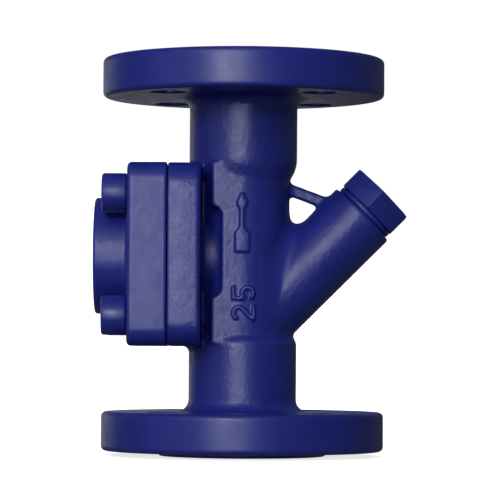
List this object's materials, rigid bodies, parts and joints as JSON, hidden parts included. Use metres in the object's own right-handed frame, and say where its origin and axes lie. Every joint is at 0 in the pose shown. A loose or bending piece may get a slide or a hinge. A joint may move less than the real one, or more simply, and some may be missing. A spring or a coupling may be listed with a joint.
{
  "type": "steam trap",
  "caption": "Flanged thermostatic steam trap with a built-in Y-strainer: one casting, bolted regulator cover, unscrewing strainer plug, sliding valve stem.",
  "frame": {"origin": "centre of the inlet's raised face, on the pipe axis; the part stands on that face", "axes": "+Z along the pipe axis from inlet to outlet, +X towards the strainer branch, -X towards the regulator cover, -Y the side with the raised arrow and number"},
  "size_m": [0.1273, 0.115, 0.164],
  "materials": {
    "body_paint": "semi-gloss navy blue enamel on cast steel",
    "cover_paint": "semi-gloss navy blue enamel on a forged cover",
    "screw_paint": "navy blue enamel over steel screws",
    "plug_paint": "navy blue enamel over a machined steel plug",
    "stainless": "turned stainless steel",
    "bimetal": "rolled bimetal, slightly straw coloured",
    "screen_steel": "perforated stainless sheet",
    "graphite": "matt graphite",
    "copper": "soft copper"
  },
  "bodies": {
    "body": {"trap_body": "body_paint", "cover": "cover_paint", "cover_screw_1": "screw_paint", "cover_screw_2": "screw_paint", "cover_screw_3": "screw_paint", "cover_screw_4": "screw_paint", "cover_gasket": "graphite", "valve_seat": "stainless", "seat_gasket": "copper", "stack_base": "stainless"},
    "valve": {"valve_stem": "stainless", "stack_washer": "stainless", "adjusting_nut": "stainless", "lock_nut": "stainless"},
    "disc_pair_1": {"bimetal_disc_01": "bimetal", "bimetal_disc_02": "bimetal"},
    "disc_pair_2": {"bimetal_disc_03": "bimetal", "bimetal_disc_04": "bimetal"},
    "disc_pair_3": {"bimetal_disc_05": "bimetal", "bimetal_disc_06": "bimetal"},
    "disc_pair_4": {"bimetal_disc_07": "bimetal", "bimetal_disc_08": "bimetal"},
    "disc_pair_5": {"bimetal_disc_09": "bimetal", "bimetal_disc_10": "bimetal"},
    "disc_pair_6": {"bimetal_disc_11": "bimetal", "bimetal_disc_12": "bimetal"},
    "screen_carrier": {"strainer_screen": "screen_steel", "screen_ring": "screen_steel", "plug_seal": "plug_paint"},
    "plug": {"strainer_plug": "plug_paint"}
  },
  "joints": [
    {"name": "valve_lift", "type": "slide", "parent": "body", "child": "valve", "axis": [-1, 0, 0], "range_m": [0, 0.002]},
    {"name": "disc_pair_1_shift", "type": "slide", "parent": "body", "child": "disc_pair_1", "axis": [-1, 0, 0], "range_m": [0, 0.000177]},
    {"name": "disc_pair_2_shift", "type": "slide", "parent": "body", "child": "disc_pair_2", "axis": [-1, 0, 0], "range_m": [0, 0.00051]},
    {"name": "disc_pair_3_shift", "type": "slide", "parent": "body", "child": "disc_pair_3", "axis": [-1, 0, 0], "range_m": [0, 0.000843]},
    {"name": "disc_pair_4_shift", "type": "slide", "parent": "body", "child": "disc_pair_4", "axis": [-1, 0, 0], "range_m": [0, 0.00118]},
    {"name": "disc_pair_5_shift", "type": "slide", "parent": "body", "child": "disc_pair_5", "axis": [-1, 0, 0], "range_m": [0, 0.00151]},
    {"name": "disc_pair_6_shift", "type": "slide", "parent": "body", "child": "disc_pair_6", "axis": [-1, 0, 0], "range_m": [0, 0.00184]},
    {"name": "strainer_draw", "type": "slide", "parent": "body", "child": "screen_carrier", "axis": [0.7071, 0, 0.7071], "range_m": [0, 0.01201]},
    {"name": "plug_turn", "type": "hinge", "parent": "screen_carrier", "child": "plug", "pos_m": [0, 0, 0.05], "axis": [0.7071, 0, 0.7071], "range_deg": [0, 2880]}
  ],
  "couplings": [
    {"joint": "disc_pair_1_shift", "follows": "valve_lift", "ratio": 0.0833},
    {"joint": "disc_pair_2_shift", "follows": "valve_lift", "ratio": 0.25},
    {"joint": "disc_pair_3_shift", "follows": "valve_lift", "ratio": 0.4167},
    {"joint": "disc_pair_4_shift", "follows": "valve_lift", "ratio": 0.5833},
    {"joint": "disc_pair_5_shift", "follows": "valve_lift", "ratio": 0.75},
    {"joint": "disc_pair_6_shift", "follows": "valve_lift", "ratio": 0.9167},
    {"joint": "strainer_draw", "follows": "plug_turn", "m_per_rad": 0.00023873}
  ]
}
